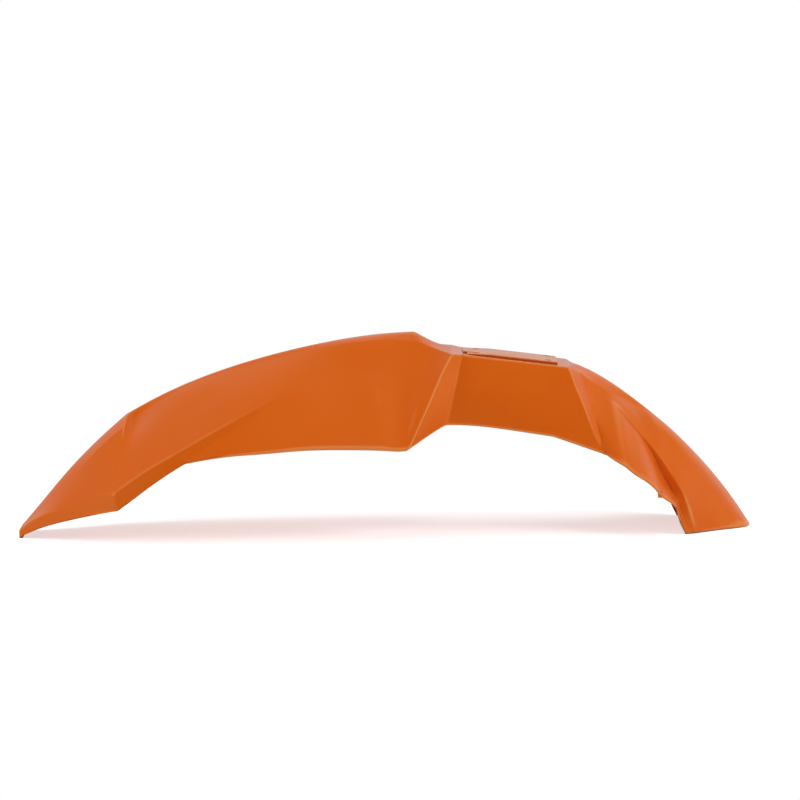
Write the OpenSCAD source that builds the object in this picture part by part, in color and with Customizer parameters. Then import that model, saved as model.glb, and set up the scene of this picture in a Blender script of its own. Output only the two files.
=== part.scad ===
// Front mudguard of an off-road motorcycle, one moulding of orange plastic.
// It rests as a bench would hold it: nose lip, both rear corners and tail end on the ground.
// X runs from nose to tail, Z is up, and the origin is the middle of the bolt pad's top face.

/* [Overall] */
// Nose tip to the middle of the bolt pad
nose_reach = 535; // [500:1:640]
// Middle of the bolt pad to the end of the tail
tail_reach = 256; // [225:1:310]
// Ground to the middle of the bolt pad
seat_height = 189; // [172:1:215]
// Ground to the highest point of the ridge
peak_height = 215; // [205:1:245]
// Thickness of the moulding
wall = 3; // [2.4:0.1:3.6]

/* [Nose] */
// Width of the blunt tip
tip_width = 56; // [45:1:67]
// Height of the turned-down lip across the tip
tip_lip = 9; // [7:0.5:11]
// Tip to the crease across the nose
nose_length = 117; // [95:1:140]
// Height of the ridge at that crease
nose_height = 130; // [108:1:155]
// Width of the nose's top panel
nose_panel_width = 56; // [46:1:66]
// Width over the front corners
wing_width = 184; // [150:1:218]
// Height of the hem at the front corners
wing_hem = 36; // [30:1:43]

/* [Front panels] */
// Front corner to the corner where the hem levels out
wing_length = 73; // [60:1:87]
// Greatest width, at the hem of the front panels
front_width = 224; // [182:1:266]
// Height of the level part of the hem
front_hem = 100; // [82:1:118]
// Width of the ridge's rounded top
ridge_width = 16; // [13:0.5:19]
// Peak to the middle of the bolt pad
peak_reach = 105; // [98:1:124]

/* [Waist] */
// Length of the flat seat
seat_length = 116; // [104:1:130]
// Width of the flat seat
seat_width = 106; // [92:1:126]
// Fall of the seat towards the tail, in degrees
seat_tilt = 7.4; // [6:0.1:8.8]
// Width at the hem of the waist
waist_width = 132; // [124:1:156]
// Depth of the waist wall below the seat
waist_depth = 74; // [60:1:88]

/* [Rear] */
// Greatest width of the rear wings
rear_wing_width = 208; // [156:1:228]
// Width over the rear corners
tail_width = 158; // [129:1:187]
// Rear corners to the end of the tail
tail_bow = 72; // [59:1:85]

/* [Bolt pad] */
// Width of the raised pad
pad_width = 68; // [58:1:80]
// Length of the raised pad
pad_length = 98; // [92:1:104]
// Rise of the pad above the seat
pad_rise = 2.2; // [1.8:0.1:2.6]
// Bolt spacing along the mudguard
bolt_spacing_x = 78; // [64:1:84]
// Bolt spacing across the mudguard
bolt_spacing_y = 46; // [38:1:50]
// Diameter of the bolt holes
bolt_hole_d = 8.2; // [6.7:0.1:9.7]
// Diameter of the bosses under the seat
boss_d = 18; // [15:0.5:21]
// Depth of the bosses below the seat's underside
boss_depth = 6; // [5:0.5:7]

/* [Ribs] */
// Thickness of the ribs that join the bosses
rib_t = 2.4; // [2:0.1:2.8]
// Depth of the ribs below the seat's underside
rib_depth = 4; // [3.3:0.1:4.7]

/* [Small features] */
// Length of the strap slots beside the pad
slot_length = 12; // [10:0.5:14]
// Width of the strap slots
slot_width = 3.2; // [2.6:0.1:3.8]
// Pad's middle to the strap slots, along the mudguard
slot_place = 40; // [34:1:44]
// Width of the locating bar across the front of the pad
bar_width = 40; // [33:1:47]
// Length of the locating bar
bar_length = 13; // [11:0.5:15]
// Rise of the locating bar above the pad
bar_rise = 1.4; // [1.1:0.1:1.7]
// Length of the lugs under the rear hem
lug_length = 6; // [5:0.5:7]
// Drop of the lugs below the rear hem
lug_drop = 6; // [5:0.5:7]

/* [Hidden] */
orange = [0.85, 0.40, 0.13];
row_spacing = 13;
flank_steps = 3;
edge_steps = 2;
bore_facets = 48;
cut = 1;

// Half widths
tip_w = tip_width / 2;
panel_w = nose_panel_width / 2;
wing_w = wing_width / 2;
front_w = front_width / 2;
ridge_w = ridge_width / 2;
seat_w = seat_width / 2;
waist_w = waist_width / 2;
rear_w = rear_wing_width / 2;
tail_w = tail_width / 2;
pad_w = pad_width / 2;

// Places along the mudguard
tip_x = -nose_reach;
nose_x = tip_x + nose_length;
corner_x = nose_x - 6;
level_x = corner_x + wing_length;
peak_x = -peak_reach;
seat_front_x = -seat_length / 2 + 4;
seat_rear_x = seat_length / 2 + 4;
heel_x = tail_reach - tail_bow;

function mix(a, b, t) = a + (b - a) * t;
function seat_z(x) = seat_height - pad_rise / cos(seat_tilt) - x * tan(seat_tilt);
function seat_point(x, y) = [x, y, seat_z(x)];

// A section runs from the ridge down one side: ridge, shoulder, flank, crest, valley, hem
tip_foot = [
    [tip_x, 0, 0],
    [tip_x, 0.5 * tip_w, 0],
    [tip_x, 0.7 * tip_w, 0],
    [tip_x, 0.88 * tip_w, 0],
    [tip_x, 0.94 * tip_w, 0],
    [tip_x, 0.98 * tip_w, 0]
];
tip = [
    [tip_x, 0, tip_lip],
    [tip_x, 0.5 * tip_w, tip_lip],
    [tip_x, 0.75 * tip_w, tip_lip],
    [tip_x, 0.96 * tip_w, tip_lip],
    [tip_x + 2.5, 1.03 * tip_w, 0.7 * tip_lip],
    [tip_x + 4.5, 1.07 * tip_w, 0.38 * tip_lip]
];
nose = [
    [nose_x, 0, nose_height],
    [nose_x - 1, panel_w, nose_height - 0.37 * panel_w],
    [nose_x - 5, 0.61 * wing_w, 0.69 * nose_height],
    [corner_x - 4.5, 0.98 * wing_w, 0.42 * nose_height],
    [corner_x - 2.5, 0.99 * wing_w, mix(wing_hem, 0.42 * nose_height, 0.5)],
    [corner_x, wing_w, wing_hem]
];
level = [
    [level_x + 6, 0, mix(nose_height, peak_height, 0.41)],
    [level_x + 6, ridge_w, mix(nose_height, peak_height, 0.41) - ridge_w / 3],
    [level_x, 0.565 * wing_w, 1.335 * front_hem],
    [level_x - 8, 1.05 * wing_w, 0.985 * front_hem],
    [level_x, 1.1 * wing_w, 0.895 * front_hem],
    [level_x, 0.91 * front_w, 0.873 * front_hem]
];
panel = [
    [peak_x - 80, 0, peak_height - 8],
    [peak_x - 80, 1.8 * ridge_w, peak_height - 12],
    [peak_x - 81, 0.263 * front_w, 0.876 * peak_height],
    [peak_x - 83, 0.4 * front_w, 0.802 * peak_height],
    [peak_x - 80, 0.447 * front_w, 0.779 * peak_height],
    [peak_x - 74, front_w, front_hem + 1]
];
peak = [
    [peak_x, 0, peak_height],
    [peak_x + 2, 2.4 * ridge_w, peak_height - 9],
    [peak_x - 2, 0.32 * front_w, 0.865 * peak_height],
    [peak_x - 5, 0.43 * front_w, 0.798 * peak_height],
    [peak_x - 7, 0.5 * front_w, 0.753 * peak_height],
    [peak_x - 18, 0.96 * front_w, front_hem - 2]
];
step_top = [
    [seat_front_x - 11, 0, seat_z(seat_front_x - 11) + 2],
    [seat_front_x - 11, seat_w + 2, seat_z(seat_front_x - 11) + 1.5],
    [seat_front_x - 20, 1.2 * seat_w, 0.953 * seat_height],
    [seat_front_x - 28, 1.36 * seat_w, 0.867 * seat_height],
    [seat_front_x - 32, 1.45 * seat_w, 0.822 * seat_height],
    [seat_front_x - 60, 0.955 * front_w, front_hem - 2]
];
waist_front = [
    seat_point(seat_front_x, 0),
    seat_point(seat_front_x, seat_w - 1),
    [seat_front_x - 3, mix(seat_w, waist_w, 0.15), seat_z(seat_front_x) - 12],
    [seat_front_x - 6, mix(seat_w, waist_w, 0.4), seat_z(seat_front_x) - 26],
    [seat_front_x - 8, mix(seat_w, waist_w, 0.55), seat_z(seat_front_x) - 34],
    [seat_front_x - 18, waist_w, seat_z(seat_front_x) - waist_depth]
];
waist = [
    seat_point(12, 0),
    seat_point(12, seat_w),
    [15, mix(seat_w, waist_w, 0.2), seat_z(15) - 10],
    [20, mix(seat_w, waist_w, 0.38), seat_z(20) - 21],
    [23, mix(seat_w, waist_w, 0.5), seat_z(23) - 28],
    [41, waist_w + 1, seat_z(41) - waist_depth - 1.5]
];
waist_rear = [
    seat_point(seat_rear_x, 0),
    seat_point(seat_rear_x - 2, seat_w + 1),
    [seat_rear_x + 1.5, mix(seat_w, waist_w, 0.2), seat_z(seat_rear_x) - 9.5],
    [seat_rear_x + 5, mix(seat_w, waist_w, 0.33), seat_z(seat_rear_x) - 20],
    [seat_rear_x + 8, mix(seat_w, waist_w, 0.43), seat_z(seat_rear_x) - 27],
    [seat_rear_x + 30, waist_w + 3, seat_z(seat_rear_x) - waist_depth - 17]
];
step_foot = [
    [seat_rear_x + 8, 0, seat_z(seat_rear_x) - 2],
    [seat_rear_x + 9, 0.6 * seat_w, seat_z(seat_rear_x) - 7],
    [seat_rear_x + 12, 0.675 * seat_w, seat_z(seat_rear_x) - 15.5],
    [seat_rear_x + 14, 0.75 * seat_w, seat_z(seat_rear_x) - 24],
    [seat_rear_x + 16, 0.8 * seat_w, seat_z(seat_rear_x) - 30],
    [seat_rear_x + 35, waist_w + 5, seat_z(seat_rear_x) - waist_depth - 19]
];
deck = [
    [seat_rear_x + 44, 0, 0.877 * seat_z(seat_rear_x)],
    [seat_rear_x + 43, 0.37 * seat_w, 0.826 * seat_z(seat_rear_x)],
    [seat_rear_x + 45, 0.49 * seat_w, 0.79 * seat_z(seat_rear_x)],
    [seat_rear_x + 49, 0.615 * seat_w, 0.762 * seat_z(seat_rear_x)],
    [seat_rear_x + 49, 0.65 * seat_w, 0.748 * seat_z(seat_rear_x)],
    [seat_rear_x + 56, 0.9 * rear_w, 0.421 * seat_z(seat_rear_x)]
];
wing_end = [
    [tail_reach - 45, 0, 63],
    [tail_reach - 47, 0.3 * tail_w, 60],
    [tail_reach - 62, 0.7 * tail_w, 45.5],
    [heel_x, 0.975 * tail_w, 33.5],
    [heel_x - 11, 1.01 * tail_w, 35],
    [heel_x - 10, 1.06 * tail_w, 28]
];
tail = [
    [tail_reach, 0, 0],
    [tail_reach - 4, 0.3 * tail_w, 0],
    [tail_reach - 39, 0.67 * tail_w, 0],
    [heel_x + 9, 0.93 * tail_w, 0],
    [heel_x + 1, 0.99 * tail_w, 0],
    [heel_x - 2, tail_w, 0]
];

// A section part of the way from one to another, moved by lists for the same six curves
function between(a, b, t, along, out, up) = [
    for (i = [0 : len(a) - 1]) mix(a[i], b[i], t) + [along[i], out[i], up[i]]
];

still = [0, 0, 0, 0, 0, 0];
nose_low = between(tip, nose, 0.17,
    [0, 0, 1, 2, 0, -1.5],
    [0, 4.5, 1, -1.5, -2, -2],
    [2.5, -1.5, 2.5, 7, 4, 2]
);
nose_mid = between(tip, nose, 0.51,
    [0.5, 1, 4, 7.5, 5.5, 3],
    [0, 3, 2, -1, -0.5, -0.5],
    [7, 1, 4, 7.5, 3, 4]
);
nose_high = between(tip, nose, 0.77,
    [0, 0.5, 5, 10, 8, 5.5],
    [0, 2, 3, 2.5, 2.5, 3],
    [4.5, 4, 5, 8, 2.5, 3.5]
);
brow = between(nose, level, 0.15,
    [0, 0, 1.5, 4.5, 3, 2.5],
    [0, -17, -5.5, 1, 0, 0],
    [1, 7, 5.5, 4, 3, 2]
);
arch = between(nose, level, 0.45,
    [0, 0, 2.5, 5.5, 3, 4.5],
    [0, -11, -3, 1.5, 0, 0.5],
    [2.5, 6.5, 6, 5.5, 5, 4.5]
);
panel_low = between(level, panel, 0.23,
    [-1, -1, 0, 2, 0, 2.5],
    [0, -1.5, 2.5, 6.5, 4.5, 3],
    [4, 4.5, 5, 5.5, 5.5, 4]
);
panel_mid = between(level, panel, 0.49,
    [0, 0, 0, 2, -1.5, 1.5],
    [0, -3, 1, 5, 2, 4],
    [5, 6, 7, 7.5, 10, 4]
);
panel_high = between(level, panel, 0.74,
    [0, 0, 0, 0, -3.5, -1.5],
    [0, -2.5, -2, -1.5, -4, 2.5],
    [4.5, 5, 7, 7.5, 11, 3.5]
);
crown = between(panel, peak, 0.54, [0, -1.5, -1.5, -1, -1.5, 7], still, [2.5, 3.5, 3, 2.5, 3.5, 0]);
ramp = between(peak, step_top, 0.5, still, [0, -6, -2.5, -2, 0, 0], [-1, -1, -2, 0, 0, 0]);
neck = between(step_foot, deck, 0.49,
    [0, -2, -2.5, -4.5, -4, -1],
    [0, 0, 0, -1, 0, 1.5],
    [2.5, -4, -2.5, -1.5, -2, 0]
);
back_1 = between(deck, wing_end, 0.15,
    [0, 0, 3.5, 3, 1.5, 2.5],
    [0, -9, -4.5, -2.5, -4.5, 7.5],
    [4, 5, 1, -3, 0.5, -0.5]
);
back_2 = between(deck, wing_end, 0.29,
    [0, 0, 5.5, 6.5, 5, 4.5],
    [0, -14, -7, -4, -5, 12.5],
    [5, 8, 1.5, -4, 0, 0.5]
);
back_3 = between(deck, wing_end, 0.47,
    [0, 2, 7.5, 9, 7, 3.5],
    [0, -9.5, -5, -3.5, -3.5, 16],
    [6.5, 11.5, 3, -4, -3, 2]
);
back_4 = between(deck, wing_end, 0.64,
    [0, 2, 7.5, 10, 6.5, 3.5],
    [0, -6, -2.5, -1.5, -1.5, 17.5],
    [6.5, 9.5, 0, -7.5, -8, -0.5]
);
back_5 = between(deck, wing_end, 0.81,
    [0, 1, 5.5, 7.5, 4.5, 3.5],
    [0, -2.5, 0, 0.5, 0.5, 14.5],
    [4, 5, -1, -5, -6.5, 1]
);
heel = between(wing_end, tail, 0.49,
    [0, 0, 0, 1, 0, 0],
    [0, 2, 2.5, 2.5, 2, 0],
    [3, 2, 0.5, -2, -2.5, -1.5]
);

// Each station: its section, how sharply each curve folds there, and how sharp the section is
// at the shoulder and at the crest and valley
smooth = [0, 0, 0, 0, 0, 0];
fold = [1, 1, 1, 1, 1, 1];
stations = [
    [tip_foot, smooth, 1, 1],
    [tip, fold, 1, 1],
    [nose_low, smooth, 1, 1],
    [nose_mid, smooth, 1, 1],
    [nose_high, smooth, 1, 1],
    [nose, [1, 1, 0, 1, 1, 1], 1, 1],
    [brow, smooth, 0.3, 1],
    [arch, smooth, 0, 1],
    [level, [0, 0, 0, 0, 1, 1], 0, 1],
    [panel_low, smooth, 0, 1],
    [panel_mid, smooth, 0, 1],
    [panel_high, smooth, 0.3, 0.6],
    [panel, smooth, 0.6, 0],
    [crown, smooth, 0.8, 0],
    [peak, [1, 1, 0, 0, 0, 0], 1, 0],
    [ramp, smooth, 1, 0],
    [step_top, fold, 1, 0],
    [waist_front, [1, 1, 1, 1, 1, 0.6], 1, 0],
    [waist, [0, 0, 0, 0, 0, 0.8], 1, 0],
    [waist_rear, fold, 1, 0],
    [step_foot, fold, 1, 0],
    [neck, [0, 1, 0, 0, 0, 0], 1, 0],
    [deck, smooth, 1, 0.4],
    [back_1, smooth, 0.6, 1],
    [back_2, smooth, 0, 1],
    [back_3, smooth, 0, 1],
    [back_4, smooth, 0, 1],
    [back_5, smooth, 0, 1],
    [wing_end, [0, 0, 0, 0, 1, 1], 0, 1],
    [heel, smooth, 0, 1],
    [tail, smooth, 0, 1]
];

// Direction of a run of points from point k to the next, and at point i
function chord(p, k) = (p[k + 1] - p[k]) / norm(p[k + 1] - p[k]);
function heading(p, i) =
    i == 0 ? chord(p, 0) :
    i == len(p) - 1 ? chord(p, i - 1) :
    let (h0 = norm(p[i] - p[i - 1]), h1 = norm(p[i + 1] - p[i]))
    (chord(p, i - 1) * h1 + chord(p, i) * h0) / (h0 + h1);

// Direction at point i of the stretch from k to the next, broken where the point is sharp
function run_slope(p, sharp, i, k) =
    let (
        j = i == k ? k + 1 : k,
        own = 1.5 * chord(p, k) - 0.5 * (sharp[j] > 0.5 ? chord(p, k) : heading(p, j))
    )
    i == 0 || i == len(p) - 1 ? own : mix(heading(p, i), own, sharp[i]);

function hermite(a, b, sa, sb, t) =
    let (h = norm(b - a), u = t * t, v = u * t)
    a * (2 * v - 3 * u + 1) + sa * h * (v - 2 * u + t) + b * (3 * u - 2 * v) + sb * h * (v - u);

// Every section of the skin, from the six curves drawn through the stations
curves = [for (c = [0 : 5]) [for (s = stations) s[0][c]]];
folds = [for (c = [0 : 5]) [for (s = stations) s[1][c]]];
function curve_at(c, i, t) = hermite(
    curves[c][i],
    curves[c][i + 1],
    run_slope(curves[c], folds[c], i, i),
    run_slope(curves[c], folds[c], i + 1, i),
    t
);
function steps_of(i) = max(1, round(norm(curves[2][i + 1] - curves[2][i]) / row_spacing));
sections = [
    for (i = [0 : len(stations) - 2])
        for (k = [0 : steps_of(i) - 1])
            let (t = k / steps_of(i))
            concat(
                [for (c = [0 : 5]) curve_at(c, i, t)],
                [for (k = [2, 3]) mix(stations[i][k], stations[i + 1][k], t)]
            ),
    concat(stations[len(stations) - 1][0], [0, 1])
];

// One side of a section, drawn through its six points; the ridge is level across
function mirror_y(p) = [p[0], -p[1], p[2]];
function side(s) =
    let (
        p = [mirror_y(s[1]), s[0], s[1], s[2], s[3], s[4], s[5]],
        sharp = [0, 0, s[6], 0, s[7], s[7], 0],
        steps = [0, flank_steps, flank_steps, flank_steps, edge_steps, flank_steps]
    )
    concat(
        [
            for (i = [1 : 5])
                let (from = run_slope(p, sharp, i, i), to = run_slope(p, sharp, i + 1, i))
                for (k = [0 : steps[i] - 1])
                    hermite(p[i], p[i + 1], from, to, k / steps[i])
        ],
        [p[6]]
    );
function whole(s) =
    let (h = side(s), n = len(h))
    concat([for (k = [n - 1 : -1 : 1]) mirror_y(h[k])], h);

outer = [for (s = sections) whole(s)];
rows = len(outer);
cols = len(outer[0]);
mid = (cols - 1) / 2;

// Inner skin: each point moved inwards along the mean of the facets two steps around it, so that it
// turns softly under the creases; at both ends it moves level, so the ends stand flat on the ground
function unit(v) = v / norm(v);
function quad_normal(i, j) =
    unit(cross(outer[i + 1][j + 1] - outer[i][j], outer[i][j + 1] - outer[i + 1][j]));
quad_normals = [for (i = [0 : rows - 2]) [for (j = [0 : cols - 2]) quad_normal(i, j)]];
function around(i, j) = [
    for (a = [max(i - 2, 0) : min(i + 1, rows - 2)])
        for (b = [max(j - 2, 0) : min(j + 1, cols - 2)])
            quad_normals[a][b]
];
function total(v, k = 0) = k == len(v) - 1 ? v[k] : v[k] + total(v, k + 1);
function level_part(n) = [n[0], n[1], 0] / (n[0] * n[0] + n[1] * n[1]);
function inward(i, j) =
    let (n = unit(total(around(i, j))))
    wall * (i == 0 || i == rows - 1 ? level_part(n) : n);
inner = [for (i = [0 : rows - 1]) [for (j = [0 : cols - 1]) outer[i][j] - inward(i, j)]];

function outer_id(i, j) = i * cols + j;
function inner_id(i, j) = (rows + i) * cols + j;
function square(q, flip) =
    flip ? [[q[3], q[1], q[0]], [q[3], q[2], q[1]]] : [[q[2], q[1], q[0]], [q[3], q[2], q[0]]];
function flatten(v) = [for (a = v) for (b = a) b];
skin_faces = flatten([
    for (i = [0 : rows - 2])
        for (j = [0 : cols - 2])
            concat(
                square(
                    [outer_id(i, j), outer_id(i + 1, j), outer_id(i + 1, j + 1), outer_id(i, j + 1)],
                    j < mid
                ),
                square(
                    [inner_id(i, j), inner_id(i, j + 1), inner_id(i + 1, j + 1), inner_id(i + 1, j)],
                    j < mid
                )
            )
]);
function hem_square(i, j, flip) =
    square([outer_id(i, j), inner_id(i, j), inner_id(i + 1, j), outer_id(i + 1, j)], flip);
function end_square(i, j, flip) =
    square([outer_id(i, j), outer_id(i, j + 1), inner_id(i, j + 1), inner_id(i, j)], flip);
rim_faces = flatten(concat(
    [for (i = [0 : rows - 2]) hem_square(i, 0, false)],
    [for (i = [0 : rows - 2]) hem_square(i, cols - 1, true)],
    [for (j = [0 : cols - 2]) end_square(0, j, j < mid)],
    [for (j = [0 : cols - 2]) end_square(rows - 1, j, j >= mid)]
));

module shell() {
    polyhedron(points = flatten(concat(outer, inner)), faces = concat(skin_faces, rim_faces), convexity = 6);
}

// Draws in the seat's own frame: Z along the bolts, zero at the pad's top
module on_seat() {
    rotate([0, seat_tilt, 0]) children();
}

module at_bolts() {
    for (x = [-bolt_spacing_x / 2, bolt_spacing_x / 2])
        for (y = [-bolt_spacing_y / 2, bolt_spacing_y / 2])
            translate([x, y, 0]) children();
}

module bosses() {
    at_bolts()
        translate([0, 0, -pad_rise - wall - boss_depth])
            cylinder(d = boss_d, h = boss_depth + wall / 2, $fn = bore_facets);
}

// Ribs in a rectangle under the seat, from boss to boss
module ribs() {
    for (y = [-bolt_spacing_y / 2, bolt_spacing_y / 2])
        translate([-bolt_spacing_x / 2, y - rib_t / 2, -pad_rise - wall - rib_depth])
            cube([bolt_spacing_x, rib_t, rib_depth + wall / 2]);
    for (x = [-bolt_spacing_x / 2, bolt_spacing_x / 2])
        translate([x - rib_t / 2, -bolt_spacing_y / 2, -pad_rise - wall - rib_depth])
            cube([rib_t, bolt_spacing_y, rib_depth + wall / 2]);
}

module bolt_holes() {
    at_bolts()
        translate([0, 0, -pad_rise - wall - boss_depth - cut])
            cylinder(d = bolt_hole_d, h = pad_rise + wall + boss_depth + 2 * cut, $fn = bore_facets);
}

// Narrow slots through the seat, halfway between the pad's side and the seat's edge
module strap_slots() {
    for (side = [-1, 1])
        translate([slot_place, side * (pad_w + seat_w) / 2, -pad_rise - 2 * wall])
            translate([-slot_length / 2, -slot_width / 2, 0])
                cube([slot_length, slot_width, pad_rise + 3 * wall]);
}

module pad() {
    translate([-pad_length / 2, -pad_w, -pad_rise - wall / 2])
        cube([pad_length, pad_width, pad_rise + wall / 2]);
}

module locating_bar() {
    translate([-pad_length / 2 - bar_length / 3, -bar_width / 2, -pad_rise - wall / 2])
        cube([bar_length, bar_width, pad_rise + wall / 2 + bar_rise]);
}

// Small lugs that hang under the rear wings, just inside the hem
module lugs() {
    hem = mix(back_3[5], back_4[5], 0.6);
    for (side = [-1, 1])
        translate([hem[0], side * (hem[1] - 2.5), hem[2] - lug_drop])
            translate([-lug_length / 2, -wall / 2, 0])
                cube([lug_length, wall, lug_drop + 1]);
}

module mudguard() {
    color(orange)
        difference() {
            union() {
                translate([0, 0, -seat_height]) shell();
                translate([0, 0, -seat_height]) lugs();
                on_seat() pad();
                on_seat() locating_bar();
                on_seat() bosses();
                on_seat() ribs();
            }
            on_seat() bolt_holes();
            on_seat() strap_slots();
        }
}

mudguard();
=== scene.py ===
"""Front mudguard of an off-road motorcycle: the finished look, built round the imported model."""

import math

import bmesh
import bpy
import numpy as np
from mathutils import Matrix, Vector


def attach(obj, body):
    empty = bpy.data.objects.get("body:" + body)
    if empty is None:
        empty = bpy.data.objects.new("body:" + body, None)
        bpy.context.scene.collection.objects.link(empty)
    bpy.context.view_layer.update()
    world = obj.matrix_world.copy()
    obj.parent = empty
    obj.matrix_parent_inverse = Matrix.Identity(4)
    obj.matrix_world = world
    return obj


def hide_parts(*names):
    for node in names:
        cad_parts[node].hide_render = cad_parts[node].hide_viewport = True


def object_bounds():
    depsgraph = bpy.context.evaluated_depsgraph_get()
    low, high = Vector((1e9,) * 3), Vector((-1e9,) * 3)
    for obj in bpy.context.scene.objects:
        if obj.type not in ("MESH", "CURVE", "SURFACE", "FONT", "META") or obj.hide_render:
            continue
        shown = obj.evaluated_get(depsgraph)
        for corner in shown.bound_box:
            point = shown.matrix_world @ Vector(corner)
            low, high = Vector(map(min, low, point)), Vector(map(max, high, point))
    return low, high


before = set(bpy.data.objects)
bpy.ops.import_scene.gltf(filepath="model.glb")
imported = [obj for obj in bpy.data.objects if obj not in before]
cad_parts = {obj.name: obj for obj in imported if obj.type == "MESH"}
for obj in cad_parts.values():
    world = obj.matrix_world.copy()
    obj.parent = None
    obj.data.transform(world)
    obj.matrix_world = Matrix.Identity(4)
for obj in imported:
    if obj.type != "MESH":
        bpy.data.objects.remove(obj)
cad_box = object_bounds()

# Sizes in millimetres, as in the source; a mesh is turned into metres when it is made
MM = 0.001

# Overall
nose_reach = 535  # Nose tip to the middle of the bolt pad
tail_reach = 256  # Middle of the bolt pad to the end of the tail
seat_height = 189  # Ground to the middle of the bolt pad
peak_height = 215  # Ground to the highest point of the ridge
wall = 3  # Thickness of the moulding

# Nose
tip_width = 56  # Width of the blunt tip
tip_lip = 9  # Height of the turned-down lip across the tip
nose_length = 117  # Tip to the crease across the nose
nose_height = 130  # Height of the ridge at that crease
nose_panel_width = 56  # Width of the nose's top panel
wing_width = 184  # Width over the front corners
wing_hem = 36  # Height of the hem at the front corners

# Front panels
wing_length = 73  # Front corner to the corner where the hem levels out
front_width = 224  # Greatest width, at the hem of the front panels
front_hem = 100  # Height of the level part of the hem
ridge_width = 16  # Width of the ridge's rounded top
peak_reach = 105  # Peak to the middle of the bolt pad

# Waist
seat_length = 116  # Length of the flat seat
seat_width = 106  # Width of the flat seat
seat_tilt = 7.4  # Fall of the seat towards the tail, in degrees
waist_width = 132  # Width at the hem of the waist
waist_depth = 74  # Depth of the waist wall below the seat

# Rear
rear_wing_width = 208  # Greatest width of the rear wings
tail_width = 158  # Width over the rear corners
tail_bow = 72  # Rear corners to the end of the tail

# Bolt pad
pad_width = 68  # Width of the raised pad
pad_length = 98  # Length of the raised pad
pad_rise = 2.2  # Rise of the pad above the seat
bolt_spacing_x = 78  # Bolt spacing along the mudguard
bolt_spacing_y = 46  # Bolt spacing across the mudguard
bolt_hole_d = 8.2  # Diameter of the bolt holes
boss_d = 18  # Diameter of the bosses under the seat
boss_depth = 6  # Depth of the bosses below the seat's underside

# Ribs
rib_t = 2.4  # Thickness of the ribs that join the bosses
rib_depth = 4  # Depth of the ribs below the seat's underside

# Small features
slot_length = 12  # Length of the strap slots beside the pad
slot_width = 3.2  # Width of the strap slots
slot_place = 40  # Pad's middle to the strap slots, along the mudguard
bar_width = 40  # Width of the locating bar across the front of the pad
bar_length = 13  # Length of the locating bar
bar_rise = 1.4  # Rise of the locating bar above the pad
lug_length = 6  # Length of the lugs under the rear hem
lug_drop = 6  # Drop of the lugs below the rear hem

cut = 1  # How far a cutting shape runs past what it cuts
top_inset = 6  # Seat's edge to the top of the waist wall
seat_sink = 0.6  # How far the seat lies lower than in the source

# Half widths
tip_w = tip_width / 2
panel_w = nose_panel_width / 2
wing_w = wing_width / 2
front_w = front_width / 2
ridge_w = ridge_width / 2
seat_w = seat_width / 2
top_w = seat_w - top_inset
waist_w = waist_width / 2
rear_w = rear_wing_width / 2
tail_w = tail_width / 2
pad_w = pad_width / 2

# Places along the mudguard
tip_x = -nose_reach
nose_x = tip_x + nose_length
corner_x = nose_x - 6
level_x = corner_x + wing_length
peak_x = -peak_reach
seat_front_x = -seat_length / 2 + 4
seat_rear_x = seat_length / 2 + 4
heel_x = tail_reach - tail_bow


def mix(a, b, t):
    return a + (b - a) * t


def seat_z(x):
    """Height of the seat above the ground at x."""
    return seat_height - pad_rise / math.cos(math.radians(seat_tilt)) - x * math.tan(math.radians(seat_tilt))


def seat_point(x, y):
    return [x, y, seat_z(x) - seat_sink]


# A section runs from the ridge down one side: ridge, shoulder, flank, crest, valley, hem
tip_foot = [
    [tip_x, 0, 0],
    [tip_x, 0.5 * tip_w, 0],
    [tip_x, 0.7 * tip_w, 0],
    [tip_x, 0.88 * tip_w, 0],
    [tip_x, 0.94 * tip_w, 0],
    [tip_x, 0.98 * tip_w, 0]
]
tip = [
    [tip_x, 0, tip_lip],
    [tip_x, 0.5 * tip_w, tip_lip],
    [tip_x, 0.75 * tip_w, tip_lip],
    [tip_x, 0.96 * tip_w, tip_lip],
    [tip_x + 2.5, 1.03 * tip_w, 0.7 * tip_lip],
    [tip_x + 4.5, 1.07 * tip_w, 0.38 * tip_lip]
]
nose = [
    [nose_x, 0, nose_height],
    [nose_x - 1, panel_w, nose_height - 0.37 * panel_w],
    [nose_x - 5, 0.61 * wing_w, 0.69 * nose_height],
    [corner_x - 4.5, 0.98 * wing_w, 0.42 * nose_height],
    [corner_x - 2.5, 0.99 * wing_w, mix(wing_hem, 0.42 * nose_height, 0.5)],
    [corner_x, wing_w, wing_hem]
]
level = [
    [level_x + 6, 0, mix(nose_height, peak_height, 0.41)],
    [level_x + 6, ridge_w, mix(nose_height, peak_height, 0.41) - ridge_w / 3],
    [level_x, 0.565 * wing_w, 1.335 * front_hem],
    [level_x - 8, 1.05 * wing_w, 0.985 * front_hem],
    [level_x, 1.1 * wing_w, 0.895 * front_hem],
    [level_x, 0.91 * front_w, 0.873 * front_hem]
]
panel = [
    [peak_x - 80, 0, peak_height - 8],
    [peak_x - 80, 1.8 * ridge_w, peak_height - 12],
    [peak_x - 81, 0.263 * front_w, 0.876 * peak_height],
    [peak_x - 83, 0.4 * front_w, 0.802 * peak_height],
    [peak_x - 80, 0.447 * front_w, 0.779 * peak_height],
    [peak_x - 74, front_w, front_hem + 1]
]
peak = [
    [peak_x, 0, peak_height],
    [peak_x + 2, 2.4 * ridge_w, peak_height - 9],
    [peak_x - 2, 0.32 * front_w, 0.865 * peak_height],
    [peak_x - 5, 0.43 * front_w, 0.798 * peak_height],
    [peak_x - 7, 0.5 * front_w, 0.753 * peak_height],
    [peak_x - 18, 0.96 * front_w, front_hem - 2]
]
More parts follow.
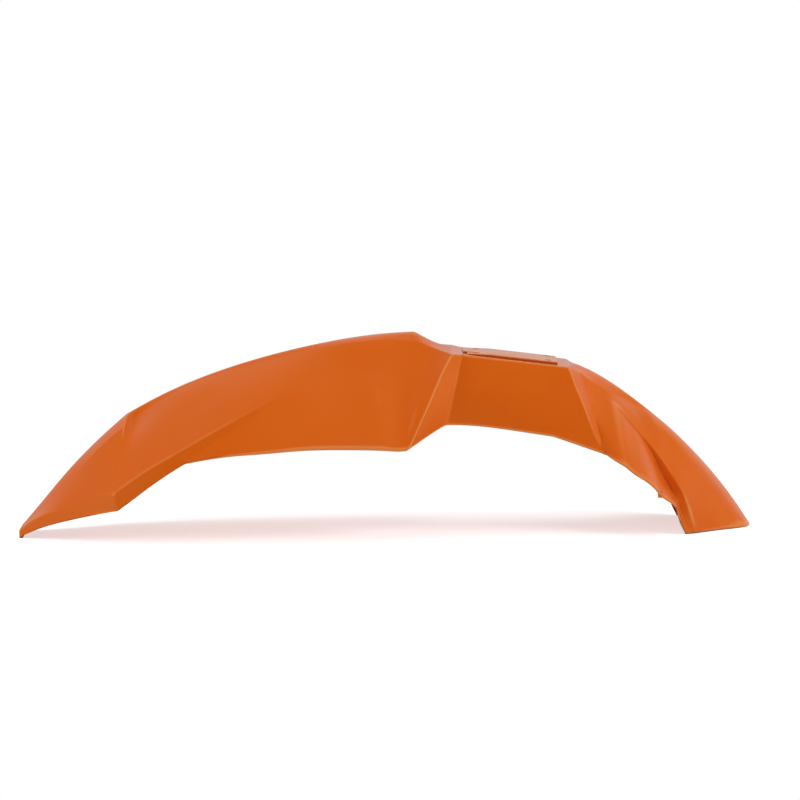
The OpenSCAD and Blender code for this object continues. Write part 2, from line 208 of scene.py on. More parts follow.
step_top = [
    [seat_front_x - 11, 0, seat_z(seat_front_x - 11) - 0.9],
    [seat_front_x - 11, seat_w + 2, seat_z(seat_front_x - 11) - 0.2],
    [seat_front_x - 20, 1.2 * seat_w, 0.953 * seat_height],
    [seat_front_x - 28, 1.36 * seat_w, 0.867 * seat_height],
    [seat_front_x - 32, 1.45 * seat_w, 0.822 * seat_height],
    [seat_front_x - 60, 0.955 * front_w, front_hem - 2]
]
waist_front = [
    seat_point(seat_front_x, 0),
    seat_point(seat_front_x, top_w - 1),
    [seat_front_x - 3, mix(top_w, waist_w, 0.15), seat_z(seat_front_x) - 12],
    [seat_front_x - 6, mix(top_w, waist_w, 0.4), seat_z(seat_front_x) - 26],
    [seat_front_x - 8, mix(top_w, waist_w, 0.55), seat_z(seat_front_x) - 34],
    [seat_front_x - 18, waist_w, seat_z(seat_front_x) - waist_depth]
]
waist = [
    seat_point(12, 0),
    seat_point(12, top_w),
    [15, mix(top_w, waist_w, 0.2), seat_z(15) - 10],
    [20, mix(top_w, waist_w, 0.38), seat_z(20) - 21],
    [23, mix(top_w, waist_w, 0.5), seat_z(23) - 28],
    [41, waist_w + 1, seat_z(41) - waist_depth - 1.5]
]
waist_rear = [
    seat_point(seat_rear_x, 0),
    seat_point(seat_rear_x - 2, top_w + 1),
    [seat_rear_x + 1.5, mix(top_w, waist_w, 0.2), seat_z(seat_rear_x) - 9.5],
    [seat_rear_x + 5, mix(top_w, waist_w, 0.33), seat_z(seat_rear_x) - 20],
    [seat_rear_x + 8, mix(top_w, waist_w, 0.43), seat_z(seat_rear_x) - 27],
    [seat_rear_x + 30, waist_w + 3, seat_z(seat_rear_x) - waist_depth - 17]
]
step_foot = [
    [seat_rear_x + 8, 0, seat_z(seat_rear_x) - 2],
    [seat_rear_x + 9, 0.6 * seat_w, seat_z(seat_rear_x) - 7],
    [seat_rear_x + 12, 0.675 * seat_w, seat_z(seat_rear_x) - 15.5],
    [seat_rear_x + 14, 0.75 * seat_w, seat_z(seat_rear_x) - 24],
    [seat_rear_x + 16, 0.8 * seat_w, seat_z(seat_rear_x) - 30],
    [seat_rear_x + 35, waist_w + 5, seat_z(seat_rear_x) - waist_depth - 19]
]
deck = [
    [seat_rear_x + 44, 0, 0.877 * seat_z(seat_rear_x)],
    [seat_rear_x + 43, 0.37 * seat_w, 0.826 * seat_z(seat_rear_x)],
    [seat_rear_x + 45, 0.49 * seat_w, 0.79 * seat_z(seat_rear_x)],
    [seat_rear_x + 49, 0.615 * seat_w, 0.757 * seat_z(seat_rear_x)],
    [seat_rear_x + 49, 0.65 * seat_w, 0.748 * seat_z(seat_rear_x)],
    [seat_rear_x + 56, 0.9 * rear_w, 0.421 * seat_z(seat_rear_x)]
]
wing_end = [
    [tail_reach - 45, 0, 63],
    [tail_reach - 47, 0.3 * tail_w, 60],
    [tail_reach - 62, 0.7 * tail_w, 45.5],
    [heel_x, 0.975 * tail_w, 33.5],
    [heel_x - 11, 0.95 * tail_w, 34.5],
    [heel_x - 10, 1.06 * tail_w, 28]
]
tail = [
    [tail_reach, 0, 0],
    [tail_reach - 4, 0.3 * tail_w, 0],
    [tail_reach - 39, 0.67 * tail_w, 0],
    [heel_x + 9, 0.93 * tail_w, 0],
    [heel_x + 1, 0.99 * tail_w, 0],
    [heel_x - 2, tail_w, 0]
]


def between(a, b, t, along, out, up):
    """A section part of the way from one to another, moved by lists for the same six curves."""
    return [
        [p[0] + (q[0] - p[0]) * t + dx, p[1] + (q[1] - p[1]) * t + dy, p[2] + (q[2] - p[2]) * t + dz]
        for p, q, dx, dy, dz in zip(a, b, along, out, up)
    ]


still = [0, 0, 0, 0, 0, 0]
nose_low = between(tip, nose, 0.17,
    [0, 0, 1, 2, 0, -1.5],
    [0, 4.5, 1, -1.5, -2, -2],
    [2.5, -1.5, 2.5, 7, 4, 2]
)
nose_mid = between(tip, nose, 0.51,
    [0.5, 1, 4, 7.5, 5.5, 3],
    [0, 3, 2, -1, -0.5, -0.5],
    [7, 1, 4, 7.5, 3, 4]
)
nose_high = between(tip, nose, 0.77,
    [0, 0.5, 5, 10, 8, 5.5],
    [0, 2, 3, 2.5, 2.5, 3],
    [4.5, 4, 5, 8, 2.5, 3.5]
)
brow = between(nose, level, 0.15,
    [0, 0, 1.5, 4.5, 3, 2.5],
    [0, -17, -5.5, 1, 0, 0],
    [1, 7, 5.5, 4, 3, 2]
)
arch = between(nose, level, 0.45,
    [0, 0, 2.5, 5.5, 3, 4.5],
    [0, -11, -3, 1.5, 0, 0.5],
    [2.5, 6.5, 6, 5.5, 5, 4.5]
)
panel_low = between(level, panel, 0.23,
    [-1, -1, 0, 2, 0, 2.5],
    [0, -1.5, 2.5, 6.5, 4.5, 3],
    [4, 4.5, 5, 5.5, 5.5, 4]
)
panel_mid = between(level, panel, 0.49,
    [0, 0, 0, 2, -1.5, 1.5],
    [0, -3, 1, 5, 2, 4],
    [5, 6, 7, 7.5, 10, 4]
)
panel_high = between(level, panel, 0.74,
    [0, 0, 0, 0, -3.5, -1.5],
    [0, -2.5, -2, -1.5, -4, 2.5],
    [4.5, 5, 7, 7.5, 11, 3.5]
)
crown = between(panel, peak, 0.54, [0, -1.5, -1.5, -1, -1.5, 7], still, [2.5, 3.5, 3, 2.5, 3.5, 0])
ramp = between(peak, step_top, 0.5, still, [0, -6, -2.5, -2, 0, 0], [-1, -1, -2, 0, 0, 0])
neck = between(step_foot, deck, 0.49,
    [0, -2, -2.5, -4.5, -4, -1],
    [0, 0, 0, -1, 0, 1.5],
    [2.5, -4, -2.5, -1.5, -2, 0]
)
back_1 = between(deck, wing_end, 0.15,
    [0, 0, 3.5, 3, 1.5, 2.5],
    [0, -9, -4.5, -2.5, -4.5, 7.0],
    [4, 5, 1, -3, 0.5, -0.5]
)
back_2 = between(deck, wing_end, 0.29,
    [0, 0, 5.5, 6.5, 5, 4.5],
    [0, -14, -7, -4, -6, 11.5],
    [5, 8, 1.5, -4, 0, 0.5]
)
back_3 = between(deck, wing_end, 0.47,
    [0, 2, 7.5, 9, 7, 3.5],
    [0, -9.5, -5, -3.5, -6, 15.5],
    [6.5, 11.5, 3, -4, -3, 2]
)
back_4 = between(deck, wing_end, 0.64,
    [0, 2, 7.5, 10, 6.5, 3.5],
    [0, -6, -2.5, -1.5, -5, 17.5],
    [6.5, 9.5, 0, -7.5, -8, -0.5]
)
back_5 = between(deck, wing_end, 0.81,
    [0, 1, 5.5, 7.5, 4.5, 3.5],
    [0, -2.5, 0, 0.5, -4, 14.5],
    [4, 5, -1, -5, -6.5, 1]
)
heel = between(wing_end, tail, 0.49,
    [0, 0, 0, 1, 0, 0],
    [0, 2, 2.5, 2.5, 2, 0],
    [3, 2, 0.5, -2, -2.5, -1.5]
)

# Each station: its section, how sharply each curve folds there, and how sharp the section is
# at the shoulder and at the crest and valley
smooth = [0, 0, 0, 0, 0, 0]
fold = [1, 1, 1, 1, 1, 1]
stations = [
    [tip_foot, smooth, 1, 1],
    [tip, fold, 1, 1],
    [nose_low, smooth, 1, 1],
    [nose_mid, smooth, 1, 1],
    [nose_high, smooth, 1, 1],
    [nose, [1, 1, 0, 1, 1, 1], 1, 1],
    [brow, smooth, 0.3, 1],
    [arch, smooth, 0, 1],
    [level, [0, 0, 0, 0, 1, 1], 0, 1],
    [panel_low, smooth, 0, 1],
    [panel_mid, smooth, 0, 1],
    [panel_high, smooth, 0.3, 0.6],
    [panel, smooth, 0.6, 0],
    [crown, smooth, 0.8, 0],
    [peak, [1, 1, 0, 0, 0, 0], 1, 0],
    [ramp, smooth, 1, 0],
    [step_top, fold, 1, 0],
    [waist_front, [1, 1, 1, 1, 1, 0.6], 1, 0],
    [waist, [0, 0, 0, 0, 0, 0.8], 1, 0],
    [waist_rear, fold, 1, 0],
    [step_foot, fold, 1, 0],
    [neck, [0, 1, 0, 0, 0, 0], 1, 0],
    [deck, smooth, 1, 1],
    [back_1, smooth, 0.8, 1],
    [back_2, smooth, 0, 1],
    [back_3, smooth, 0, 1],
    [back_4, smooth, 0, 1],
    [back_5, smooth, 0, 1],
    [wing_end, [0, 0, 0, 0, 1, 1], 0, 1],
    [heel, smooth, 0, 1],
    [tail, smooth, 0, 1]
]


# The skin as a fine grid, in millimetres
EDGE_ROUND = 1.6  # How far from a crease its rounding starts
EDGE_TAPS = 9  # Points that are averaged to round a crease
RIM = 1.1  # How far the rounded rim reaches in from the edge
RIM_ANGLES = (30, 60, 90, 120, 150)  # Turns of the rim's points from the outer to the inner skin
FINE = (0.0, 0.5, 1.1, 2.0, 3.3, 5.2)  # Places of the grid's lines next to a crease
COARSE = 5.2  # Widest spacing of the lines elsewhere
BOW_DEGREE = 4  # Degree of the smooth bow that a curve is laid on
NORMAL_BLUR = 6  # Rounds of evening out before the skin is thickened
LEAN_LEAST = 0.3  # Limits how far the end faces' inner edge moves where the skin lies flat
SHARP = 0.5  # Sharpness from which a fold counts as a crease


def headings(p, k, i):
    """Direction of the run p[..., point, xyz] at point i, and of the stretch from k to the next."""
    def chord(a):
        d = p[..., a + 1, :] - p[..., a, :]
        return d / np.linalg.norm(d, axis=-1, keepdims=True)
    last = p.shape[-2] - 1
    if i == 0 or i == last:
        return chord(max(i - 1, 0)), chord(k)
    before = np.linalg.norm(p[..., i, :] - p[..., i - 1, :], axis=-1, keepdims=True)
    after = np.linalg.norm(p[..., i + 1, :] - p[..., i, :], axis=-1, keepdims=True)
    return (chord(i - 1) * after + chord(i) * before) / (before + after), chord(k)


def run_slope(p, sharp, i, k):
    """Slope at point i for the stretch from k to the next: a shared one, or its own at a sharp fold."""
    j = k + 1 if i == k else k
    far, chord = headings(p, k, j)
    own = 1.5 * chord - 0.5 * (far + (chord - far) * (sharp[j] > SHARP))
    if i in (0, p.shape[-2] - 1):
        return own
    here = headings(p, k, i)[0]
    return here + (own - here) * sharp[i]


def hermite(a, b, sa, sb, t):
    """The point at share t of a smooth run from a to b, which leaves a at slope sa and meets b at sb."""
    h, u, v = np.linalg.norm(b - a, axis=-1, keepdims=True), t * t, t * t * t
    return a * (2 * v - 3 * u + 1) + sa * h * (v - 2 * u + t) + b * (3 * u - 2 * v) + sb * h * (v - u)


def places(length, sharp_start, sharp_end):
    """Shares along a stretch: close together where it starts or ends at a crease."""
    half = length / 2
    start = [d for d in FINE if d < half] if sharp_start else [0.0]
    end = [d for d in FINE if d < half] if sharp_end else [0.0]
    inner = length - start[-1] - end[-1]
    n = max(1, math.ceil(inner / COARSE))
    middle = [start[-1] + inner * k / n for k in range(1, n)]
    return [d / length for d in start + middle] + [1 - d / length for d in reversed(end) if d > 0]


def evened(curve, first, last):
    """Lays the heights of a curve from one station to another on one smooth bow between its ends."""
    x, z = curve[first:last + 1, 0], curve[first:last + 1, 2]
    bow = np.polyval(np.polyfit(x, z, BOW_DEGREE), x)
    share = (x - x[0]) / (x[-1] - x[0])
    curve[first:last + 1, 2] = bow + (z[0] - bow[0]) * (1 - share) + (z[-1] - bow[-1]) * share


def skin():
    """Points of the outer skin, rows by columns, in millimetres; columns run from hem to hem."""
    curve = np.array([[s[0][c] for s in stations] for c in range(6)], float)
    fold = np.array([[s[1][c] for s in stations] for c in range(6)], float)
    at = [s[0] for s in stations]
    for c in (0, 1):
        evened(curve[c], at.index(nose), at.index(peak))
        evened(curve[c], at.index(step_foot), at.index(tail))
    folded = [fold[0][i] > SHARP or fold[5][i] > SHARP for i in range(len(stations))]
    rows, shoulder, crest = [], [], []
    for i in range(len(stations) - 1):
        flank = np.linalg.norm(curve[2][i + 1] - curve[2][i])
        for t in places(flank, folded[i], folded[i + 1]):
            rows.append([
                hermite(curve[c][i], curve[c][i + 1], run_slope(curve[c], fold[c], i, i),
                        run_slope(curve[c], fold[c], i + 1, i), t)
                for c in range(6)
            ])
            shoulder.append(mix(stations[i][2], stations[i + 1][2], t))
            crest.append(mix(stations[i][3], stations[i + 1][3], t))
    rows.append(curve[:, -1])
    shoulder.append(stations[-1][2])
    crest.append(stations[-1][3])
    p = np.array(rows)
    p = np.concatenate([p[:, 1:2] * [1, -1, 1], p], axis=1)
    w, c = np.array(shoulder)[:, None], np.array(crest)[:, None]
    sharp = [0 * w, 0 * w, w, 0 * w, c, c, 0 * w]
    creased = [False, False, True, False, True, True, False]
    columns = []
    for k in range(1, 6):
        widest = np.linalg.norm(p[:, k + 1] - p[:, k], axis=-1).max()
        for t in places(widest, creased[k], creased[k + 1]):
            columns.append(
                hermite(p[:, k], p[:, k + 1], run_slope(p, sharp, k, k), run_slope(p, sharp, k + 1, k), t)
            )
    columns.append(p[:, 6])
    half = np.stack(columns, axis=1)
    return np.concatenate([half[:, :0:-1] * [1, -1, 1], half], axis=1)


def soften(grid, reach):
    """Rounds the creases: each point becomes the mean of the run within reach of it, both ways."""
    for _ in range(2):
        out = grid.copy()
        for r in range(grid.shape[0]):
            line = grid[r]
            s = np.concatenate([[0], np.cumsum(np.linalg.norm(np.diff(line, axis=0), axis=1))])
            w = np.minimum(reach, np.minimum(s, s[-1] - s))
            total = 0
            for o in np.linspace(-1, 1, EDGE_TAPS):
                total = total + np.stack([np.interp(s + o * w, s, line[:, a]) for a in range(3)], axis=1)
            out[r] = total / EDGE_TAPS
        grid = out.transpose(1, 0, 2)
    return grid


def normals(grid):
    """Outward direction at each point of a grid."""
    du, dv = np.gradient(grid, axis=0), np.gradient(grid, axis=1)
    n = np.cross(du, dv)
    n[np.linalg.norm(n, axis=-1) < 1e-9] = (0, 0, 1)
    return n / np.linalg.norm(n, axis=-1, keepdims=True)


def blur(field, times):
    """Evens out a field of directions over its neighbours in the grid."""
    for _ in range(times):
        f = np.pad(field, ((1, 1), (1, 1), (0, 0)), mode="edge")
        field = (f[:-2, 1:-1] + f[2:, 1:-1] + f[1:-1, :-2] + f[1:-1, 2:] + 2 * f[1:-1, 1:-1]) / 6
        field /= np.linalg.norm(field, axis=-1, keepdims=True)
    return field


def shell():
    """The moulding's wall: outer skin, inner skin and the rounded rim that joins them."""
    outer = soften(skin(), EDGE_ROUND)
    n = blur(normals(outer), NORMAL_BLUR)
    shift = n * wall
    for end in (0, -1):
        flat = n[end] * [1, 1, 0]
        shift[end] = flat * wall / np.maximum((flat * flat).sum(-1, keepdims=True), LEAN_LEAST)
    inner = outer - shift
    rows, cols = outer.shape[:2]
    ring = [(i, 0) for i in range(rows)] + [(rows - 1, j) for j in range(1, cols)]
    ring += [(i, cols - 1) for i in range(rows - 2, -1, -1)] + [(0, j) for j in range(cols - 2, 0, -1)]
    outward = {}
    for i, j in ring:
        d = outer[i, j] - outer[min(max(i, 1), rows - 2), min(max(j, 1), cols - 2)]
        outward[i, j] = d / np.linalg.norm(d)
    for at, d in outward.items():
        outer[at] -= d * RIM
        inner[at] -= d * RIM
    verts = list(outer.reshape(-1, 3)) + list(inner.reshape(-1, 3))
    faces = []
    for i in range(rows - 1):
        for j in range(cols - 1):
            a, b = i * cols + j, (i + 1) * cols + j
            c, d = a + rows * cols, b + rows * cols
            faces += [(a, b, b + 1, a + 1), (c, c + 1, d + 1, d)]
    bands = []
    for i, j in ring:
        middle, half = (outer[i, j] + inner[i, j]) / 2, (outer[i, j] - inner[i, j]) / 2
        band = [i * cols + j]
        for a in map(math.radians, RIM_ANGLES):
            band.append(len(verts))
            verts.append(middle + half * math.cos(a) + outward[i, j] * RIM * math.sin(a))
        bands.append(band + [(rows + i) * cols + j])
    for k, p in enumerate(bands):
        q = bands[(k + 1) % len(bands)]
        faces += [(p[m], p[m + 1], q[m + 1], q[m]) for m in range(len(p) - 1)]
    return closed("shell", np.array(verts) - [0, 0, seat_height], faces)


def closed(name, points, faces):
    """A mesh object from points in millimetres, its faces turned outwards."""
    loose = bpy.data.meshes.new("loose")
    loose.from_pydata([tuple(v) for v in np.asarray(points) * MM], [], faces)
    bm = bmesh.new()
    bm.from_mesh(loose)
    bpy.data.meshes.remove(loose)
    return from_bmesh(name, bm)


# Blocks and rods that are joined to the skin or cut from it
SEAT = Matrix.Rotation(math.radians(seat_tilt), 4, "Y")
NEAR = 1e-6  # Metres within which a vertex counts as lying on a plane
FLAT = 0.5  # Radians below which an edge is too flat to be rounded
ROUND_SIDES = 64  # Sides of a rod
PAD_BEVEL, BOSS_BEVEL = 0.8, 0.6  # Rounding of the pad's and the bosses' edges
PAD_RUN_IN = 26  # Length over which the pad's front end comes up
RUN_IN_DROP = 0.8 * pad_rise  # How much lower the pad's front end starts


def block(name, low, high, bevel=0.0, placing=SEAT, run_in=0.0):
    """A box from corner to corner in millimetres, its upper edges rounded.

    Its top may run in from the front.
    """
    bm = bmesh.new()
    bmesh.ops.create_cube(bm, size=1)
    low, high = Vector(low) * MM, Vector(high) * MM
    for v in bm.verts:
        v.co = Vector([(low[k] + high[k]) / 2 + v.co[k] * (high[k] - low[k]) for k in range(3)])
    if run_in:
        bmesh.ops.bisect_plane(bm, geom=bm.verts[:] + bm.edges[:] + bm.faces[:], dist=1e-7,
                               plane_co=(low.x + run_in * MM, 0, 0), plane_no=(1, 0, 0))
        for v in bm.verts:
            if v.co.x < low.x + NEAR and v.co.z > high.z - NEAR:
                v.co.z -= RUN_IN_DROP * MM
    if bevel:
        edges = [e for e in bm.edges if max(v.co.z for v in e.verts) > high.z - NEAR
                 and len(e.link_faces) == 2 and e.calc_face_angle(0) > FLAT]
        bmesh.ops.bevel(bm, geom=edges, offset=bevel * MM, segments=4, profile=0.5, affect="EDGES")
    bm.transform(placing)
    return from_bmesh(name, bm)


def rod(name, x, y, low, high, diameter, bevel=0.0, placing=SEAT):
    """A round bar along Z at x, y in millimetres."""
    bm = bmesh.new()
    radius = diameter / 2 * MM
    bmesh.ops.create_cone(bm, cap_ends=True, segments=ROUND_SIDES, radius1=radius, radius2=radius,
                          depth=(high - low) * MM)
    bmesh.ops.translate(bm, verts=bm.verts, vec=Vector((x, y, (low + high) / 2)) * MM)
    if bevel:
        edges = [e for e in bm.edges if all(v.co.z < low * MM + NEAR for v in e.verts)]
        bmesh.ops.bevel(bm, geom=edges, offset=bevel * MM, segments=3, profile=0.5, affect="EDGES")
    bm.transform(placing)
    return from_bmesh(name, bm)


def from_bmesh(name, bm):
    """An object from a bmesh, its faces turned outwards."""
    bmesh.ops.recalc_face_normals(bm, faces=bm.faces)
    mesh = bpy.data.meshes.new(name)
    bm.to_mesh(mesh)
    bm.free()
    obj = bpy.data.objects.new(name, mesh)
    bpy.context.collection.objects.link(obj)
    return obj


def combine(base, tools, operation):
    """Adds the tools to base, or cuts them from it, and deletes them."""
    for tool in tools:
        m = base.modifiers.new(tool.name, "BOOLEAN")
        m.operation, m.object, m.solver = operation, tool, "EXACT"
    mesh = bpy.data.meshes.new_from_object(base.evaluated_get(bpy.context.evaluated_depsgraph_get()))
    base.modifiers.clear()
    base.data = mesh
    for tool in tools:
        bpy.data.objects.remove(tool)


# The moulding
SMOOTH_ANGLE = 38  # Degrees; a sharper edge is shaded as an edge
mudguard = shell()
mudguard.name = "mudguard_skin"
under = -pad_rise - wall  # Underside of the seat, below the top of the pad
lug_inset, lug_place = 2.5, 0.6  # Lugs in from the hem, and their place from back_3 to back_4
bolt_x, bolt_y = bolt_spacing_x / 2, bolt_spacing_y / 2
bolts = [(x, y) for x in (-bolt_x, bolt_x) for y in (-bolt_y, bolt_y)]
added = [
    block("pad", (-pad_length / 2, -pad_w, -pad_rise - wall / 2), (pad_length / 2, pad_w, 0), PAD_BEVEL,
          run_in=PAD_RUN_IN),
    block("bar", (-pad_length / 2 - bar_length / 3, -bar_width / 2, -pad_rise - wall / 2),
          (-pad_length / 2 + bar_length * 2 / 3, bar_width / 2, bar_rise - pad_rise), PAD_BEVEL),
]
for x, y in bolts:
    added.append(rod("boss", x, y, under - boss_depth, under + wall / 2, boss_d, BOSS_BEVEL))
for side in (-1, 1):
    x, y = side * bolt_x, side * bolt_y
    added.append(block("rib", (-bolt_x, y - rib_t / 2, under - rib_depth),
                       (bolt_x, y + rib_t / 2, under + wall / 2)))
    added.append(block("rib", (x - rib_t / 2, -bolt_y, under - rib_depth),
                       (x + rib_t / 2, bolt_y, under + wall / 2)))
# The lugs stand just inside the hem
hem = mix(np.array(back_3[5]), np.array(back_4[5]), lug_place) - [0, lug_inset, seat_height + lug_drop]
for side in (-1, 1):
    at = hem * [1, side, 1]
    half = np.array([lug_length / 2, wall / 2, 0])
    added.append(block("lug", at - half, at + half + [0, 0, lug_drop + 1], 0.0, Matrix()))
combine(mudguard, added, "UNION")
cuts = [rod("hole", x, y, under - boss_depth - cut, cut, bolt_hole_d) for x, y in bolts]
for side in (-1, 1):
    y = side * (pad_w + seat_w) / 2
    cuts.append(block("slot", (slot_place - slot_length / 2, y - slot_width / 2, under - wall),
                      (slot_place + slot_length / 2, y + slot_width / 2, wall)))
combine(mudguard, cuts, "DIFFERENCE")
for polygon in mudguard.data.polygons:
    polygon.use_smooth = True
mudguard.data.set_sharp_from_angle(angle=math.radians(SMOOTH_ANGLE))


# The plastic; colours are linear
ORANGE, ORANGE_PALER = (0.83, 0.124, 0.0034, 1), (0.90, 0.148, 0.0046, 1)
# The edge colour is a painted highlight with pale wear; the two dark colours are painted shade for inner
# corners and recesses
EDGE_WEAR_AND_HIGHLIGHT, CORNER_SHADE, RECESS_SHADE = (0.98, 0.33, 0.10, 1), (0.50, 0.06, 0.004, 1), (0.16, 0.06, 0.03, 1)
SHADE_REACH = 0.006  # Metres of the occlusion test that paints shade at the pad's foot and in other recesses
SMOOTHSTEP = "SMOOTHSTEP"


class Nodes:
    """The emptied node tree of a material or a world, with short ways to add to it."""

    def __init__(self, owner):
        owner.use_nodes = True
        self.tree = owner.node_tree
        self.tree.nodes.clear()

    def fill(self, socket, value):
        if isinstance(value, bpy.types.NodeSocket):
            self.tree.links.new(value, socket)
        else:
            socket.default_value = value

    def add(self, kind, settings=None, **inputs):
        n = self.tree.nodes.new(kind)
        for key, value in (settings or {}).items():
            setattr(n, key, value)
        for key, value in inputs.items():
            self.fill(n.inputs[key.replace("_", " ")], value)
        return n

    def join(self, kind, settings, *values):
        """A node whose inputs are filled in their order."""
        n = self.add(kind, settings)
        for socket, value in zip(n.inputs, values):
            self.fill(socket, value)
        return n

    def math(self, operation, a, b):
        return self.join("ShaderNodeMath", {"operation": operation}, a, b).outputs["Value"]

    def ranged(self, value, low, high, first, last, kind="LINEAR"):
        """The value with low to high turned into first to last."""
        return self.add("ShaderNodeMapRange", {"interpolation_type": kind}, Value=value, From_Min=low,
                        From_Max=high, To_Min=first, To_Max=last).outputs["Result"]

    def tinted(self, colour, amount, other):
        """The colour turned by an amount towards another one."""
        return self.add("ShaderNodeMix", {"data_type": "RGBA"}, Factor=amount, A=colour,
                        B=other).outputs["Result"]


def plastic():
    """Semi-gloss orange polypropylene: flow clouding in the colour, moulded grain, fine scuffs, a painted
    highlight on outer edges and painted shade in corners and recesses.
    """
    material = bpy.data.materials.new("orange_polypropylene")
    nodes = Nodes(material)

    def noise(where, scale, detail, roughness):
        return nodes.add("ShaderNodeTexNoise", Vector=where, Scale=scale, Detail=detail,
                         Roughness=roughness).outputs["Fac"]

    place = nodes.add("ShaderNodeTexCoord").outputs["Object"]
    colour = nodes.tinted(ORANGE, noise(place, 9.0, 3.0, 0.55), ORANGE_PALER)
    # Painted highlight: outer edges are turned pale, partly as whitened wear; painted shade: inner corners
    # and the pad's foot are darkened
    shape = nodes.add("ShaderNodeNewGeometry")
    pointed = shape.outputs["Pointiness"]
    open_sky = nodes.add("ShaderNodeAmbientOcclusion", {"samples": 8}, Distance=SHADE_REACH).outputs["AO"]
    # Painted highlight along convex edges, where pointiness is high; the pale tint also stands for whitened
    # wear
    colour = nodes.tinted(colour, nodes.ranged(pointed, 0.5055, 0.513, 0.0, 0.6), EDGE_WEAR_AND_HIGHLIGHT)
    # Painted shade: inner corners and creases, where pointiness is low, are darkened
    colour = nodes.tinted(colour, nodes.ranged(pointed, 0.470, 0.4890, 0.25, 0.0), CORNER_SHADE)
    # Painted shade: occluded places, such as the pad's foot, are darkened
    colour = nodes.tinted(colour, nodes.ranged(open_sky, 0.48, 0.78, 0.8, 0.0), RECESS_SHADE)
    # Scuffs run along the part; the flat seat is smoother than the sides
    stretch = nodes.add("ShaderNodeMapping", Vector=place, Scale=(35, 900, 900)).outputs["Vector"]
    rough = nodes.ranged(noise(stretch, 1.0, 3.0, 0.7), 0.35, 0.75, 0.30, 0.44)
    upward = nodes.add("ShaderNodeSeparateXYZ", Vector=shape.outputs["True Normal"]).outputs["Z"]
    polish = nodes.ranged(upward, 0.90, 0.99, 1.0, 0.55, SMOOTHSTEP)
    fine = nodes.add("ShaderNodeBump", Strength=nodes.math("MULTIPLY", polish, 0.10), Distance=0.00006,
                     Height=noise(place, 1400.0, 2.0, 0.6))
    broad = nodes.add("ShaderNodeBump", Strength=0.25, Distance=0.0004, Height=noise(place, 55.0, 2.0, 0.5),
                      Normal=fine.outputs["Normal"])
    shader = nodes.add("ShaderNodeBsdfPrincipled", Base_Color=colour,
                       Roughness=nodes.math("MULTIPLY", rough, polish), Normal=broad.outputs["Normal"],
                       IOR=1.49, Specular_IOR_Level=0.6, Specular_Tint=(1, 1, 0.36, 1))
    nodes.add("ShaderNodeOutputMaterial", Surface=shader.outputs["BSDF"])
    return material


mudguard.data.materials.clear()
mudguard.data.materials.append(plastic())
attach(mudguard, "root")
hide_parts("mudguard")


# The room
WHITE = (1, 1, 1, 1)
FLOOR_COLOUR = (0.93, 0.93, 0.93, 1)
FLOOR_SIZE = 14.0
FLOOR_LIFT = 0.6  # Light that the camera alone sees added to the floor near the part
FADE_START, FADE_END = 0.45, 1.3  # Where the floor begins to turn plain white, and where it ends
FADE_SHIFT, FADE_SHAPE = (0.14, 0, 0), (1.0, 1.6, 0)  # The fade is an oval round the part's middle
WORLD_LIGHT = 0.18


def sheet(name, size, height, material):
    bm = bmesh.new()
    bmesh.ops.create_grid(bm, x_segments=1, y_segments=1, size=size)
    bmesh.ops.translate(bm, verts=bm.verts, vec=(0, 0, height))
    obj = from_bmesh(name, bm)
    obj.data.materials.append(material)
    return obj


def white_floor():
    """A pale floor that keeps a soft shadow and turns to plain white away from the part."""
    material = bpy.data.materials.new("white_floor")
    nodes = Nodes(material)
    place = nodes.add("ShaderNodeTexCoord").outputs["Object"]
    flat = nodes.add("ShaderNodeMapping", Vector=place, Location=FADE_SHIFT, Scale=FADE_SHAPE)
    far = nodes.join("ShaderNodeVectorMath", {"operation": "LENGTH"}, flat.outputs["Vector"]).outputs["Value"]
    fade = nodes.ranged(far, FADE_START, FADE_END, 0.0, 1.0, SMOOTHSTEP)
    matt = nodes.add("ShaderNodeBsdfDiffuse", Color=FLOOR_COLOUR)
    glow = nodes.add("ShaderNodeEmission", Color=WHITE, Strength=1.0)
    path = nodes.add("ShaderNodeLightPath")
    seen = nodes.math("MAXIMUM", path.outputs["Is Camera Ray"], path.outputs["Is Glossy Ray"])
    lift = nodes.add("ShaderNodeEmission", Color=WHITE,
                     Strength=nodes.math("MULTIPLY", path.outputs["Is Camera Ray"], FLOOR_LIFT))
    near = nodes.join("ShaderNodeAddShader", None, matt.outputs["BSDF"], lift.outputs["Emission"])
    mixed = nodes.join("ShaderNodeMixShader", None, nodes.math("MULTIPLY", seen, fade),
                       near.outputs["Shader"], glow.outputs["Emission"])
    nodes.add("ShaderNodeOutputMaterial", Surface=mixed.outputs["Shader"])
    return material


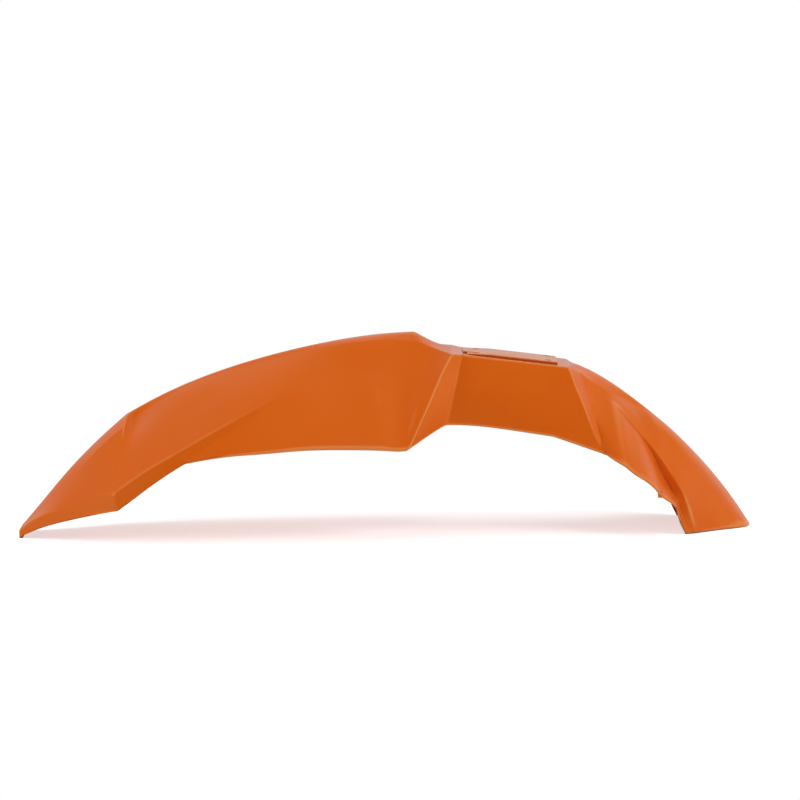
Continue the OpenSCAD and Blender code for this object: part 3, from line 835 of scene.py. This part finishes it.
def studio():
    """An even, dim world that the camera sees as white.

    The gloss sees the white backdrop behind the part, a pale right side and ceiling, and a dark room on
    the camera's side.
    """
    world = bpy.data.worlds.new("studio")
    nodes = Nodes(world)
    path = nodes.add("ShaderNodeLightPath")
    seen = nodes.math("MAXIMUM", path.outputs["Is Camera Ray"], path.outputs["Is Glossy Ray"])
    direction = nodes.add("ShaderNodeTexCoord").outputs["Generated"]
    toward = nodes.add("ShaderNodeSeparateXYZ", Vector=direction)
    behind, right_side, ceiling = [
        nodes.ranged(toward.outputs[axis], start, end, 0.0, most, SMOOTHSTEP)
        for axis, start, end, most in (("Y", 0.1, 0.9, 0.6), ("X", 0.1, 0.5, 0.29), ("Z", 0.2, 0.6, 0.28))
    ]
    backdrop = nodes.math("ADD", nodes.math("ADD", behind, right_side), ceiling)
    dim = nodes.add("ShaderNodeBackground", Color=WHITE, Strength=WORLD_LIGHT)
    white = nodes.add("ShaderNodeBackground", Color=WHITE,
                      Strength=nodes.math("MAXIMUM", path.outputs["Is Camera Ray"], backdrop))
    mixed = nodes.join("ShaderNodeMixShader", None, seen, dim.outputs["Background"],
                       white.outputs["Background"])
    nodes.add("ShaderNodeOutputWorld", Surface=mixed.outputs["Shader"])
    return world


floor = sheet("floor", FLOOR_SIZE, cad_box[0].z, white_floor())
bpy.context.scene.world = studio()


def lamp(name, at, aim, size, power, glossy=True):
    """A rectangular lamp; where glossy is false, the part doesn't mirror it."""
    data = bpy.data.lights.new(name, "AREA")
    data.shape, data.size, data.size_y, data.energy = "RECTANGLE", size[0], size[1], power
    obj = bpy.data.objects.new(name, data)
    bpy.context.collection.objects.link(obj)
    obj.location = at
    obj.rotation_mode = "QUATERNION"
    obj.rotation_quaternion = (Vector(aim) - Vector(at)).to_track_quat("-Z", "Y")
    obj.visible_glossy = glossy
    return obj


middle = (-0.14, 0, -0.08)
lamp("key", (1.5, -1.4, 1.7), middle, (1.2, 1.2), 18.8, False)
lamp("left", (-2.0, -0.4, 0.9), middle, (1.4, 1.4), 14.5, False)
lamp("top", (0, 0.3, 2.2), middle, (2.2, 1.6), 13, False)
lamp("front_right", (1.8, -1.8, 0.6), middle, (1.2, 1.2), 3.5)
lamp("right_mid", (2.1, -1.1, 0.5), middle, (1.2, 1.2), 4.8)
lamp("right_high", (2.0, -0.3, 0.9), middle, (1.4, 1.4), 2.2)
lamp("left_low", (-2.2, -0.7, 0.05), middle, (1.0, 1.0), 2.4)

# Camera of the photograph: a long lens, 6 degrees above the level, turned a little on its axis
ELEVATION, ROLL, DISTANCE = math.radians(6.0), math.radians(0.885), 5.0
PIXEL, PICTURE, SENSOR = 0.001082, 800, 36.0  # Metres a pixel at the target, pixels across, sensor in mm
TARGET = Vector((0.41342 - nose_reach * MM, 0, 0.14072 - seat_height * MM))
forward = Vector((0, math.cos(ELEVATION), -math.sin(ELEVATION)))
across = Vector((1, 0, 0))
rise = across.cross(forward)
right = math.cos(ROLL) * across - math.sin(ROLL) * rise
up = math.sin(ROLL) * across + math.cos(ROLL) * rise
data = bpy.data.cameras.new("camera")
data.sensor_width, data.lens = SENSOR, SENSOR * (DISTANCE / PIXEL) / PICTURE
data.clip_start, data.clip_end = 0.1, 60.0
camera = bpy.data.objects.new("camera", data)
bpy.context.collection.objects.link(camera)
place = Matrix((right, up, -forward)).transposed().to_4x4()
place.translation = TARGET - forward * DISTANCE
camera.matrix_world = place
bpy.context.scene.camera = camera
bpy.context.scene.view_settings.view_transform = "Standard"

bpy.context.view_layer.update()
